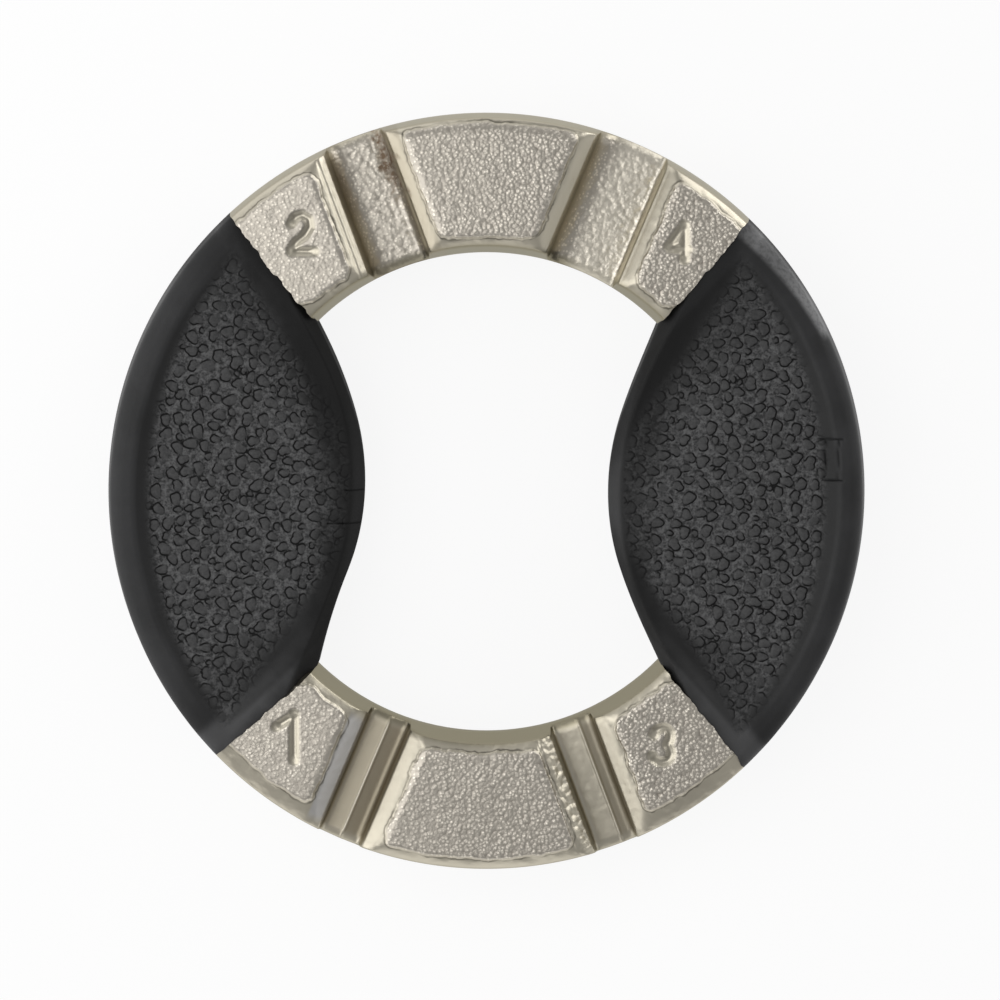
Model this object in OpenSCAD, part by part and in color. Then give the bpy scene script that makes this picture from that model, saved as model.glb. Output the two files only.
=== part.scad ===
// Ring spoke wrench: a cast ring with four graded nipple slots across its face,
// and two dished grips moulded round the ring's waist.
// Lengths are in millimetres and angles in degrees.
// The origin is the ring's centre on its parting plane. +Z points out of the slotted face.

/* [Ring] */
// Outer diameter of the ring, at its parting line
ring_d = 56; // [52:0.5:60]
// Radial width of the ring, from its outer to its inner parting line
ring_w = 10.25; // [9:0.25:11.5]
// Thickness of the ring over its rough pads
ring_t = 9; // [8:0.25:11]
// Draft of the ring's outer and inner walls
wall_draft = 7; // [3:0.5:10]
// Width of the bevel round the ring's faces
edge_bevel = 0.35; // [0.2:0.05:0.8]
// Height of a rough pad above the smooth land round it
pad_h = 0.2; // [0.1:0.05:0.35]
// Width of the smooth land round a rough pad
pad_land = 0.25; // [0.2:0.05:0.4]
// Corner radius of a rough pad, seen from above
pad_corner_r = 0.9; // [0.4:0.1:1.4]

/* [Nipple slots] */
// Width of slot 1, lower left
slot_1_w = 3.45; // [3.2:0.05:3.8]
// Width of slot 2, upper left
slot_2_w = 4.4; // [4:0.05:4.8]
// Width of slot 3, lower right
slot_3_w = 3.25; // [3:0.05:3.6]
// Width of slot 4, upper right
slot_4_w = 5.5; // [5:0.05:5.8]
// Depth of the machined slots 1 and 3, below the pads
machined_depth = 3.2; // [2.6:0.1:3.6]
// Depth of the as-cast slots 2 and 4, below the pads
cast_depth = 4.3; // [3.6:0.1:4.8]
// Width of the lead-in bevel along each side of a slot
slot_bevel = 1.1; // [0.6:0.05:1.3]
// Height of the crest that two milling passes leave along slots 1 and 3
floor_crest = 0.15; // [0.05:0.05:0.3]
// Fillet radius at the floor of slots 2 and 4
floor_fillet = 0.6; // [0.3:0.1:0.9]
// Direction of the spoke that passes through slots 1 and 4, from +X
spoke_line_14 = 67; // [64:0.5:70]
// Direction of the spoke that passes through slots 2 and 3, from +X
spoke_line_23 = 110.5; // [108:0.5:114]

/* [Grips] */
// Angle of the ring that each grip covers
grip_span = 91; // [86:1:94]
// Direction of the left grip's middle, from +X
left_grip_dir = 178; // [174:0.5:186]
// Clear gap between the noses of the two grips
grip_gap = 18; // [15:0.5:21]
// Radius of a grip's nose, seen from above
nose_r = 18; // [14:0.5:21]
// Draft of the walls round a grip's nose
nose_draft = 26; // [16:1:32]
// Height of the upright land at the tip of a grip's nose
nose_land = 0.6; // [0.4:0.1:1.2]
// Radius of the sweep that the nose's drafted walls follow, seen from above
nose_sweep_r = 34; // [30:1:45]
// Thickness over the rims of a grip
grip_t = 8.8; // [8:0.1:9]
// Rounding of a grip's outer edge
rim_round = 1.2; // [0.6:0.1:1.8]
// Width of the raised rim along a grip's outer edge
rim_w = 2.2; // [1.6:0.1:3]
// Width of the raised rim at each end of a grip
end_rim_w = 0.8; // [0.4:0.1:1.4]
// Depth of the dish at the tip of the nose
dish_depth = 1.9; // [1.4:0.1:2.2]
// Radius of the dish's hollow floor, along the grip
dish_r = 150; // [110:5:200]
// Rise of the dish's floor from the nose towards the rim
dish_tilt = 4; // [2:0.5:5.5]
// Width of the lip where the dish falls away to the tip of the nose
lip_w = 3; // [2:0.25:4]
// Fall of the lip below the dish's floor, at the tip of the nose
lip_fall = 0.5; // [0.2:0.1:0.8]
// Slope of the rim's inner side, from level
rim_slope = 42; // [32:1:60]
// Slope of the dish's ends, from level
end_slope = 30; // [24:1:45]

/* [Waist inside a grip] */
// Thickness of the ring's waist
waist_t = 4.4; // [3.6:0.1:4.8]
// Cover of a grip over the waist's inner and outer faces, up to the ring's diameters
waist_cover = 1.875; // [1.5:0.025:2.25]
// Corner bevel of the ring's waist
waist_bevel = 0.5; // [0.2:0.1:0.9]
// Diameter of the holes that lock a grip to the waist, as a share of the waist's width
lock_hole_share = 0.46; // [0.3:0.02:0.56]
// Number of lock holes inside each grip
lock_hole_count = 3; // [2:1:4]

/* [Hidden] */
$fn = 128;

// Sides of the wide round that the dish's floor is a small part of
dish_sides = 720;

// Cuts run this far past the faces that they open
overrun = 1;

// Levels and radii of the ring's section
ring_r = ring_d / 2;
hole_r = ring_r - ring_w;
face_z = ring_t / 2;
land_z = face_z - pad_h;
wall_z = land_z - edge_bevel;
wall_inset = wall_z * tan(wall_draft);
land_outer_r = ring_r - wall_inset - edge_bevel;
land_inner_r = hole_r + wall_inset + edge_bevel;
pad_outer_r = land_outer_r - pad_land;
pad_inner_r = land_inner_r + pad_land;

// The rounding of a pad's corner is centred a little under its radius from the pad's edges
corner_share = 0.9;
corner_inset = corner_share * pad_corner_r;

// Each slot has its direction from the centre, its width, depth, crest and floor fillet
slots = [
    [spoke_line_14 + 180, slot_1_w, machined_depth, floor_crest, 0],
    [spoke_line_23, slot_2_w, cast_depth, 0, floor_fillet],
    [spoke_line_23 + 180, slot_3_w, machined_depth, floor_crest, 0],
    [spoke_line_14, slot_4_w, cast_depth, 0, floor_fillet]
];

// Each bare arc of the ring, from the end of one grip to the start of the next
bare_arcs = [
    [grip_span / 2, left_grip_dir - grip_span / 2],
    [left_grip_dir + grip_span / 2, 360 - grip_span / 2]
];

// The waist that the grips are moulded round
waist_inner_r = hole_r + waist_cover;
waist_outer_r = ring_r - waist_cover;
waist_mid_r = (waist_inner_r + waist_outer_r) / 2;
waist_z = waist_t / 2;
lock_hole_d = lock_hole_share * (waist_outer_r - waist_inner_r);
lock_hole_step = grip_span / (lock_hole_count + 1);

// Outline of a grip: a round nose, with flanks that run on to the edge of the ring's hole
grip_z = grip_t / 2;
nose_z = grip_z + overrun;
nose_x = grip_gap / 2 + nose_r;
flank_end_x = hole_r * cos(grip_span / 2);
flank_end_y = hole_r * sin(grip_span / 2);
flank_reach = sqrt((flank_end_x - nose_x) * (flank_end_x - nose_x) + flank_end_y * flank_end_y);
flank_normal = atan2(flank_end_y, flank_end_x - nose_x) + acos(nose_r / flank_reach);

// Sweep of the drafted walls, set out from the nose's tip by half of the upright land
sweep_x = grip_gap / 2 + nose_sweep_r;
sweep_r = nose_sweep_r + nose_land / 2 * tan(nose_draft);
sweep_top_r = sweep_r - nose_z * tan(nose_draft);

// Rounded outer edge of a grip
round_z = grip_z - rim_round;
round_r = ring_r - round_z * tan(wall_draft) - rim_round / cos(wall_draft);

// Tilt of the dish's lip, which meets the dish's floor at the lip's width from the tip
lip_tilt = atan(tan(dish_tilt) + lip_fall / lip_w);

// Rim of the dish, where the dish's room begins and ends
dish_low_z = grip_z - 2 * dish_depth;
dish_high_z = grip_z + overrun;
rim_low_r = ring_r - rim_w - 2 * dish_depth / tan(rim_slope);
rim_high_r = ring_r - rim_w + overrun / tan(rim_slope);

// Half width of the gap between the pads at a slot: its bevel and the land beside it
function gap_half(slot) = slot[1] / 2 + slot_bevel + pad_land;

// One bare arc of the ring, drafted both ways from the parting line, with a rough band on its back
module bare_arc(ends) {
    rotate_extrude(angle = ends[1] - ends[0], start = ends[0])
        polygon([
            [ring_r, 0],
            [ring_r - wall_inset, wall_z],
            [land_outer_r, land_z],
            [land_inner_r, land_z],
            [hole_r + wall_inset, wall_z],
            [hole_r, 0],
            [hole_r + wall_inset, -wall_z],
            [land_inner_r, -land_z],
            [pad_inner_r, -land_z],
            [pad_inner_r, -face_z],
            [pad_outer_r, -face_z],
            [pad_outer_r, -land_z],
            [land_outer_r, -land_z],
            [ring_r - wall_inset, -wall_z]
        ]);
}

// Waist of the ring, a full hoop with bevelled corners and with lock holes at both sides
module waist() {
    difference() {
        rotate_extrude()
            polygon([
                [waist_inner_r + waist_bevel, -waist_z],
                [waist_outer_r - waist_bevel, -waist_z],
                [waist_outer_r, waist_bevel - waist_z],
                [waist_outer_r, waist_z - waist_bevel],
                [waist_outer_r - waist_bevel, waist_z],
                [waist_inner_r + waist_bevel, waist_z],
                [waist_inner_r, waist_z - waist_bevel],
                [waist_inner_r, waist_bevel - waist_z]
            ]);
        for (middle = [0, left_grip_dir], i = [1 : lock_hole_count])
            rotate(middle - grip_span / 2 + i * lock_hole_step)
                translate([waist_mid_r, 0, 0])
                    cylinder(d = lock_hole_d, h = waist_t + 2 * overrun, center = true);
    }
}

// Material left between a slot's floor and one of its walls
module floor_corner(slot, side) {
    r = slot[4];
    translate([side * (slot[1] / 2 - r), face_z - slot[2] + r])
        difference() {
            translate([side > 0 ? 0 : -r - overrun, -r - overrun]) square(r + overrun);
            circle(r);
        }
}

// Section of a slot: its floor, walls and lead-in bevels, with room above them
module slot_section(slot) {
    half = slot[1] / 2;
    floor_z = face_z - slot[2];
    bevel_z = land_z - slot_bevel;
    top_z = face_z + overrun;
    top_half = half + top_z - bevel_z;
    difference() {
        polygon([
            [0, floor_z + slot[3]],
            [half, floor_z],
            [half, bevel_z],
            [top_half, top_z],
            [-top_half, top_z],
            [-half, bevel_z],
            [-half, floor_z]
        ]);
        if (slot[4] > 0)
            for (side = [-1, 1]) floor_corner(slot, side);
    }
}

// One slot, cut right across the ring along its spoke
module slot_cut(slot) {
    rotate(slot[0])
        translate([hole_r - overrun, 0, 0])
            rotate([90, 0, 90])
                linear_extrude(ring_w + 2 * overrun)
                    slot_section(slot);
}

// What rounds a pad's corner beside a slot: centre_r is the rounding's distance from the ring's
// centre, and limit_r lies past the corner
module pad_corner(slot, side, centre_r, limit_r) {
    half = gap_half(slot);
    y = half + corner_inset;
    x = sqrt(centre_r * centre_r - y * y);
    difference() {
        polygon([
            [x, side * y],
            [x, side * half],
            [limit_r, side * half],
            [x * limit_r / centre_r, side * y * limit_r / centre_r]
        ]);
        translate([x, side * y]) circle(pad_corner_r);
    }
}

// Gap between two pads, with the pads' corners rounded off
module pad_gap(slot) {
    half = gap_half(slot);
    rotate(slot[0])
        translate([0, 0, land_z - pad_h - overrun])
            linear_extrude(2 * (pad_h + overrun)) {
                translate([0, -half]) square([ring_r, 2 * half]);
                for (side = [-1, 1]) {
                    pad_corner(slot, side, pad_outer_r - corner_inset, pad_outer_r + overrun);
                    pad_corner(slot, side, pad_inner_r + corner_inset, pad_inner_r - overrun);
                }
            }
}

// Rough pads of one bare arc, rooted in the ring and divided by the slots
module rough_pads(ends) {
    difference() {
        rotate_extrude(angle = ends[1] - ends[0], start = ends[0])
            translate([pad_inner_r, land_z - pad_h])
                square([pad_outer_r - pad_inner_r, 2 * pad_h]);
        for (slot = slots) pad_gap(slot);
    }
}

module ring() {
    color("#beb7a9")
        difference() {
            union() {
                waist();
                for (ends = bare_arcs) {
                    bare_arc(ends);
                    rough_pads(ends);
                }
            }
            for (slot = slots) slot_cut(slot);
        }
}

// Half of a grip's outer edge: drafted wall and rounded rim
module rim_section() {
    polygon([
        [0, 0],
        [ring_r, 0],
        [round_r + rim_round * cos(wall_draft), round_z + rim_round * sin(wall_draft)],
        [round_r, grip_z],
        [0, grip_z]
    ]);
    translate([round_r, round_z]) circle(rim_round);
}

// Sector of a disc that gives a grip its outer edge and its two ends
module grip_sector() {
    rotate_extrude(angle = grip_span, start = -grip_span / 2) {
        rim_section();
        mirror([0, 1]) rim_section();
    }
}

// Inner edge of a grip, seen from above: two straight flanks, with the point between them rounded
module nose_outline() {
    start_x = nose_x + nose_r * cos(flank_normal);
    start_y = nose_r * sin(flank_normal);
    far_x = start_x + ring_r * sin(flank_normal);
    far_y = start_y - ring_r * cos(flank_normal);
    point_x = nose_x + nose_r / cos(flank_normal);
    difference() {
        polygon([[point_x, 0], [far_x, far_y], [ring_d, far_y], [ring_d, -far_y], [far_x, -far_y]]);
        difference() {
            polygon([[point_x - overrun, 0], [start_x, start_y], [start_x, -start_y]]);
            translate([nose_x, 0]) circle(nose_r);
        }
    }
}

// Solid that gives a grip its inner edge: an upright land at the parting plane, and drafted walls
module grip_nose() {
    intersection() {
        linear_extrude(2 * nose_z, center = true) nose_outline();
        translate([sweep_x, 0, 0])
            rotate_extrude()
                polygon([
                    [0, -nose_z],
                    [sweep_top_r, -nose_z],
                    [sweep_r, 0],
                    [sweep_top_r, nose_z],
                    [0, nose_z]
                ]);
    }
}

// Sloping end of the dish
module dish_end() {
    rotate(grip_span / 2)
        translate([0, -end_rim_w, grip_z])
            rotate([end_slope - 90, 0, 0])
                translate([-ring_d, -2 * ring_d, -ring_d])
                    cube(2 * ring_d);
}

// Room over a hollow floor that rises at a tilt, from a depth below the rim at the tip of the nose
module trough(depth, tilt) {
    translate([grip_gap / 2, 0, grip_z - depth])
        rotate([0, 90 - tilt, 0])
            translate([-dish_r, 0, -ring_r])
                rotate(90) cylinder(r = dish_r, h = 3 * ring_r, $fn = dish_sides);
}

// Thumb dish: a shallow trough with a falling lip, which stays inside the rim and the two ends
module dish() {
    intersection() {
        union() {
            trough(dish_depth, dish_tilt);
            trough(dish_depth + lip_fall, lip_tilt);
        }
        rotate_extrude()
            polygon([
                [0, dish_low_z],
                [rim_low_r, dish_low_z],
                [rim_high_r, dish_high_z],
                [0, dish_high_z]
            ]);
        dish_end();
        mirror([0, 1, 0]) dish_end();
    }
}

module right_grip() {
    color("#2f2f31")
        difference() {
            intersection() {
                grip_sector();
                grip_nose();
            }
            dish();
            mirror([0, 0, 1]) dish();
            waist();
        }
}

module left_grip() {
    rotate(left_grip_dir) right_grip();
}

ring();
left_grip();
right_grip();
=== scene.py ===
import bpy
import math
import numpy as np
from mathutils import Matrix, Vector


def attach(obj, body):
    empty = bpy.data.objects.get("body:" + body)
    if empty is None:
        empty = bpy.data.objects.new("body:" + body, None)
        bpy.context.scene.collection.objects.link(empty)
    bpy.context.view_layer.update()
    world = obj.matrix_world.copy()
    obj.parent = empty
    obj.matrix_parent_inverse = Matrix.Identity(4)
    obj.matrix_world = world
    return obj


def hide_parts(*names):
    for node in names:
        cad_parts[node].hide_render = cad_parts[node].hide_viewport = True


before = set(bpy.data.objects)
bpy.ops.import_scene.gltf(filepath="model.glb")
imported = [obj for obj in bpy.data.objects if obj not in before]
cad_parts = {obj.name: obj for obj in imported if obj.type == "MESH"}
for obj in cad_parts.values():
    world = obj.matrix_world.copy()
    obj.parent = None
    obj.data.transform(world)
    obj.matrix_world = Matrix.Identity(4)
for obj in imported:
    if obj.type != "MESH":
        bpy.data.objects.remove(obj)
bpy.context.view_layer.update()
print("frame loaded:", sorted(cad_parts))

mm = 0.001  # sizes below are in millimetres, and meshes and places in metres


# Helpers for heights and patterns, all on whole arrays

def ramp(low, high, x):  # smooth step from 0 at low to 1 at high
    t = np.clip((x - low) / (high - low), 0, 1)
    return t * t * (3 - 2 * t)


def peak(x, half):  # 1 at 0, falling straight to 0 at half on either side
    return np.clip(1 - np.abs(x) / half, 0, 1)


def blend(low, x):  # low where x is 0, and 1 where x is 1
    return low + (1 - low) * x


def slopeOf(degrees):  # rise over run
    return math.tan(math.radians(degrees))


def softMin(a, b, k):  # lower of two heights, with the line where they meet rounded over about k
    h = np.clip(0.5 + 0.5 * (b - a) / k, 0, 1)
    return b * (1 - h) + a * h - k * h * (1 - h)


def softMax(a, b, k):  # higher of two heights, rounded likewise
    return -softMin(-a, -b, k)


def cellRandom(ix, iy, seed):  # a fixed number from 0 to 1 for each whole-number cell
    h = ix.astype(np.int64) * 374761393 + iy.astype(np.int64) * 668265263 + seed * 974634777
    h = h & 0xFFFFFFFF
    h = ((h ^ (h >> 13)) * 1274126177) & 0xFFFFFFFF
    h = h ^ (h >> 16)
    return (h & 0xFFFFFF) / float(0xFFFFFF)


def valueNoise(x, y, seed):  # cell numbers joined by quintic steps, from 0 to 1
    ix, iy = np.floor(x), np.floor(y)
    fx, fy = x - ix, y - iy
    sx, sy = fx ** 3 * (fx * (fx * 6 - 15) + 10), fy ** 3 * (fy * (fy * 6 - 15) + 10)
    low = cellRandom(ix, iy, seed) * (1 - sx) + cellRandom(ix + 1, iy, seed) * sx
    high = cellRandom(ix, iy + 1, seed) * (1 - sx) + cellRandom(ix + 1, iy + 1, seed) * sx
    return low * (1 - sy) + high * sy


noiseLayers = dict(turn=0.9, turnStep=1.7, sizeShare=0.52, heightShare=0.55)


def grain(x, y, size, seed, octaves=3):  # turned layers of value noise, each about half as large, about 0
    n, total, share = noiseLayers, 0, 1.0
    for i in range(octaves):
        a = n["turn"] + n["turnStep"] * i
        u, v = x * math.cos(a) - y * math.sin(a), x * math.sin(a) + y * math.cos(a)
        total = total + share * (valueNoise(u / size, v / size, seed + i) - 0.5)
        size, share = size * n["sizeShare"], share * n["heightShare"]
    return total


def nearestPoint(x, y, seed, jitter):  # one point per cell: distance to the nearest, and its number
    ix, iy = np.floor(x), np.floor(y)
    nearest, number = np.full(x.shape, 9.0), np.zeros(x.shape)
    for dx in (-1, 0, 1):
        for dy in (-1, 0, 1):
            cx, cy = ix + dx, iy + dy
            px = cx + 0.5 + jitter * (cellRandom(cx, cy, seed) - 0.5)
            py = cy + 0.5 + jitter * (cellRandom(cx, cy, seed + 1) - 0.5)
            distance = np.hypot(px - x, py - y)
            nearer = distance < nearest
            number = np.where(nearer, cellRandom(cx, cy, seed + 2), number)
            nearest = np.where(nearer, distance, nearest)
    return nearest, number


sandGrains = dict(
    bend=0.6, bendSize=3, along=0.89, across=0.46, jitter=0.95,
    fall=1.7, low=0.7, gain=0.6, drop=0.55,
)


def granules(x, y, size, seed):  # cast sand grains: a dome over each point of a bent lattice, about 0
    n = sandGrains
    bend, bendSize = n["bend"] * size, n["bendSize"] * size
    u = (n["along"] * x + n["across"] * y + bend * grain(x, y, bendSize, seed + 5)) / size
    v = (n["along"] * y - n["across"] * x + bend * grain(x, y, bendSize, seed + 9)) / size
    near, number = nearestPoint(u, v, seed, n["jitter"])
    return (1 - n["fall"] * near * near) * (n["low"] + n["gain"] * number) - n["drop"]


def strokeDistance(x, y, path):  # distance from each point to the nearest part of a drawn line
    nearest = np.full(x.shape, 1e3)
    for (ax, ay), (bx, by) in zip(path[:-1], path[1:]):
        ex, ey = bx - ax, by - ay
        t = np.clip(((x - ax) * ex + (y - ay) * ey) / (ex * ex + ey * ey), 0, 1)
        nearest = np.minimum(nearest, np.hypot(x - ax - t * ex, y - ay - t * ey))
    return nearest


def ringMesh(name, points, attributes, sharpAngle):  # one mesh from a grid that closes on itself both ways
    rows, columns = points.shape[:2]
    index = np.arange(rows * columns).reshape(rows, columns)
    right, down = np.roll(index, -1, 1), np.roll(index, -1, 0)
    faces = np.stack([index, right, np.roll(down, -1, 1), down], -1).reshape(-1, 4)
    flat = points.reshape(-1, 3) * mm
    a, b, c, d = (flat[faces[:, i]] for i in range(4))
    if np.einsum("ij,ij->", (a + b + c + d), np.cross(c - a, d - b)) < 0:  # faces point outwards
        faces = faces[:, ::-1]
    mesh = bpy.data.meshes.new(name)
    mesh.from_pydata(flat, [], faces)
    mesh.polygons.foreach_set("use_smooth", np.ones(len(faces), bool))
    mesh.set_sharp_from_angle(angle=math.radians(sharpAngle))
    for label, values in attributes.items():
        layer = mesh.attributes.new(label, "FLOAT", "POINT")
        layer.data.foreach_set("value", values.astype(np.float32).ravel())
    mesh.update()
    piece = bpy.data.objects.new(name, mesh)
    bpy.context.scene.collection.objects.link(piece)
    print(name, len(flat), "points,", 2 * len(faces), "triangles")
    return piece


# Camera, almost straight above the slotted face

camera = dict(
    distance=300.0, lean=4.0, aimX=1.00, aimY=-0.57, spanX=74.07,
    sensor=36.0, nearest=0.01, farthest=20.0,  # nearest and farthest in metres
)


def placeCamera(c):  # the frame spans spanX at the ring's middle, and the camera leans towards +Y
    lens = bpy.data.cameras.new("viewCamera")
    lens.sensor_width = c["sensor"]
    lens.lens = c["sensor"] * c["distance"] / c["spanX"]
    lens.clip_start, lens.clip_end = c["nearest"], c["farthest"]
    eye = bpy.data.objects.new("viewCamera", lens)
    lean = math.radians(c["lean"])
    back = Vector((0, math.sin(lean), math.cos(lean)))
    right = Vector((0, 1, 0)).cross(back).normalized()
    eye.location = (Vector((c["aimX"], c["aimY"], 0)) + back * c["distance"]) * mm
    eye.rotation_euler = Matrix((right, back.cross(right), back)).transposed().to_euler()
    bpy.context.scene.collection.objects.link(eye)
    bpy.context.scene.camera = eye


placeCamera(camera)
print("camera placed")


# Cast ring

ringCast = dict(
    outerR=28.0, holeR=17.75, draft=7.0, landZ=4.3, bevelR=0.485, bevelW=0.35, edgeSoft=0.5, sharpAngle=62,
    bareArcs=(("upperRight", "upperLeft"), ("lowerLeft", "lowerRight")),  # bare metal, by its ends
    padInnerR=18.835, middlePadR=(27.30, 26.80), endPadR=(27.02, 26.25),  # outer radii above and below
    padRise=0.2, padSide=0.20, roughSide=0.22, padCorner=0.9, padEndCorner=1.5, padEndGap=0.35,
    padWobble=0.20, padWobbleSize=1.1, fineWobble=0.08, fineWobbleSize=0.35, bandFall=0.30, bandReach=1.2,
    waistInnerR=19.625, waistOuterR=26.125, waistZ=2.2, waistColumns=14,
    slotRim=0.32, slotEndReach=0.95, slotEndFall=0.34, slotSoft=0.25, bevelRise=0.78, bevelSoft=0.36,
    filletShare=0.97, footShare=0.757, crestReach=1.6, crestHalf=0.14, crestSharpShare=0.4, grooveHalf=0.15,
    padGrain=0.31, padGrainDepth=0.012, coarseLow=0.62, coarseGain=1.25, coarseX=(-14, 15),  # grows from left to right, and with it the painted shade in the grain hollows
    floorGrain=0.44, floorGrainDepth=0.035, floorCoarse=0.55, lumpSize=1.2, lumpDepth=0.016,
    bevelGrain=0.42, bevelGrainDepth=0.075, skinGrain=0.45, skinGrainDepth=0.014,
    rustGrain=0.4, rustDepth=0.06, rustSink=0.6,
    backWobble=0.14, backWobbleSize=1.0, backGrain=0.45, backGrainDepth=0.06, backSink=0.3,
    faceStep=0.120, leastSteps=4, floorStep=0.115,
    slotLines=(5, 13, 5, 2),  # mesh lines on a slot's rim, bevel, wall and half its crest
    edgeRows=((0, 0.48, 7), (0.55, 1.15, 9)), faceInset=1.24, faceRows=78,
    backEdge=(0.12, 0.3, 0.48, 0.6, 0.75, 0.9, 1.05, 1.2), backInset=1.6, backRows=12,
)

# Lines where rubber meets metal. ends: direction, turn at the hole and outside, and how ragged the line is
rubberLines = dict(
    jagSize=0.7, jagStart=(0.05, 0.12), turnPower=2, jagPower=24,
    ends=dict(
        upperRight=(45.5, -0.75, 0.9, 0.15),
        upperLeft=(132.5, 2.0, -0.1, 0.20),
        lowerLeft=(223.5, 1.9, 0.4, 0.15),
        lowerRight=(314.5, 1.4, -1.2, 0.2),
    ),
)


def endAngle(end):  # direction of such a line, in degrees
    return rubberLines["ends"][end][0]


def endTurn(r, end, c, near):  # turn of such a line, in radians, at places whose nearness to it is 0 to 1
    n = rubberLines
    angle, inner, outer, ragged = n["ends"][end]
    share = (r - c["holeR"]) / (c["outerR"] - c["holeR"])
    jag = ragged * grain(r, np.full(r.shape, angle), n["jagSize"], seed=141)
    jag = jag * ramp(*n["jagStart"], share) / r
    turn = np.radians(inner + (outer - inner) * share)
    return turn * near ** n["turnPower"] + jag * near ** n["jagPower"]


# Slots by number, with left and right as seen looking outwards.
# left, right: where the floor ends, and where the bevel begins and ends, from the slot's middle.
# fillets: radii left and right. crest: place and height. grooves: place and depth of each.
# Shade shares: painted shade on a cast slot's right bevel and on the left side of its floor, or else on the
# right and left half of a machined floor. Light share: painted light on the right side of a cast floor.
# special: a finish or painted tint that only this slot has.
nippleSlots = {
    4: dict(
        angle=67.0, floorZ=0.2, left=(2.64, 2.84, 3.88), right=(2.60, 2.73, 3.70), fillets=(1.4, 0.3),
        crest=(0, 0), grooves=[(-2.62, 0.05), (-2.98, 0.03)],
        cast=True, slotShade=(0.0, 0.20), paintedLight=0.75, special=None,
    ),
    2: dict(
        angle=110.5, floorZ=0.2, left=(2.15, 2.34, 3.38), right=(2.10, 2.33, 3.30), fillets=(1.2, 0.7),
        crest=(0, 0), grooves=[(2.62, 0.03), (2.98, 0.06), (-2.30, 0.06)],
        cast=True, slotShade=(0.6, 0.60), paintedLight=0.1, special="rust",
    ),
    1: dict(
        angle=247.0, floorZ=1.3, left=(1.50, 1.62, 2.84), right=(1.64, 1.76, 2.92), fillets=(0.55, 0.45),
        crest=(0.0, 0.16), grooves=[(-2.98, 0.08)],
        cast=False, slotShade=(0.7, 1.0), special="coolBevel",
    ),
    3: dict(
        angle=290.5, floorZ=1.3, left=(1.50, 1.62, 2.78), right=(1.62, 1.74, 2.75), fillets=(0.55, 0.3),
        crest=(0.40, 0.16), grooves=[(-2.86, 0.20)],
        cast=False, slotShade=(0.05, 0.65), special="roughBevel",
    ),
}


def slotProfile(t, s, c):
    # Height across a slot: floor with round fillets, steep walls and sloping bevels, then crest and grooves
    isLeft, off = t > 0, np.abs(t)
    floorEnd, bevelStart, bevelEnd = (np.where(isLeft, a, b) for a, b in zip(s["left"], s["right"]))
    bevelLowZ = c["landZ"] - (bevelEnd - bevelStart) * c["bevelRise"]
    fillet = np.where(isLeft, *s["fillets"])
    into = np.clip(fillet - floorEnd + off, 0, c["filletShare"] * fillet)
    floor = s["floorZ"] + fillet - np.sqrt(fillet ** 2 - into ** 2)
    footZ = s["floorZ"] + c["footShare"] * fillet
    wall = footZ + (off - floorEnd) / (bevelStart - floorEnd) * (bevelLowZ - footZ)
    bevel = bevelLowZ + (off - bevelStart) * c["bevelRise"]
    z = softMin(np.maximum(floor, wall), bevel, c["bevelSoft"])
    place, rise = s["crest"]
    sharp = c["crestSharpShare"] * rise
    z = z + rise * peak(t - place, c["crestReach"]) + sharp * peak(t - place, c["crestHalf"])
    for at, deep in s["grooves"]:
        z = z - deep * peak(t - at, c["grooveHalf"])
    return z


def slotColumns(s, c):  # places across a slot where its mesh has lines, close together on bevels and crest
    left, right, crest, half = s["left"], s["right"], s["crest"][0], c["crestHalf"]
    knots = [-right[2] - c["slotRim"], -right[2], -right[1], -right[0], crest - half, crest, crest + half]
    knots += [left[0], left[1], left[2], left[2] + c["slotRim"]]
    onRight = round((crest - half + right[0]) / c["floorStep"])
    onLeft = round((left[0] - crest - half) / c["floorStep"])
    rim, bevel, wall, ridge = c["slotLines"]
    counts = [rim, bevel, wall, onRight, ridge, ridge, onLeft, wall, bevel, rim]
    spans = zip(knots[:-1], knots[1:], counts)
    return np.concatenate([np.linspace(a, b, n + 1)[1:] for a, b, n in spans])[:-1]


def arcColumns(start, end, slots, c):  # lines along the arc, which keep to slot sides and fan out between
    lines = []
    stops = [(start, 0.0)]
    for s in slots:
        stops += [(s["angle"], -s["right"][2] - c["slotRim"]), (s["angle"], s["left"][2] + c["slotRim"])]
    stops.append((end, 0.0))
    middleR = (c["outerR"] + c["holeR"]) / 2
    for i in range(0, len(stops), 2):
        (a0, t0), (a1, t1) = stops[i], stops[i + 1]
        width = math.radians(a1 - a0) * middleR + t1 - t0
        w = np.linspace(0, 1, max(c["leastSteps"], round(width / c["faceStep"])) + 1)
        flat = np.ones(w.shape)
        atStart, atEnd = (1 - w) * (i == 0), w * (i == len(stops) - 2)
        lines.append(np.stack([a0 * flat, t0 * flat, a1 * flat, t1 * flat, w, atStart, atEnd]))
        if i // 2 < len(slots):
            t = slotColumns(slots[i // 2], c)
            a = np.full(t.shape, slots[i // 2]["angle"])
            lines.append(np.stack([a, t, a, t, 0 * t, 0 * t, 0 * t]))
    return np.concatenate(lines, 1)


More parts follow.
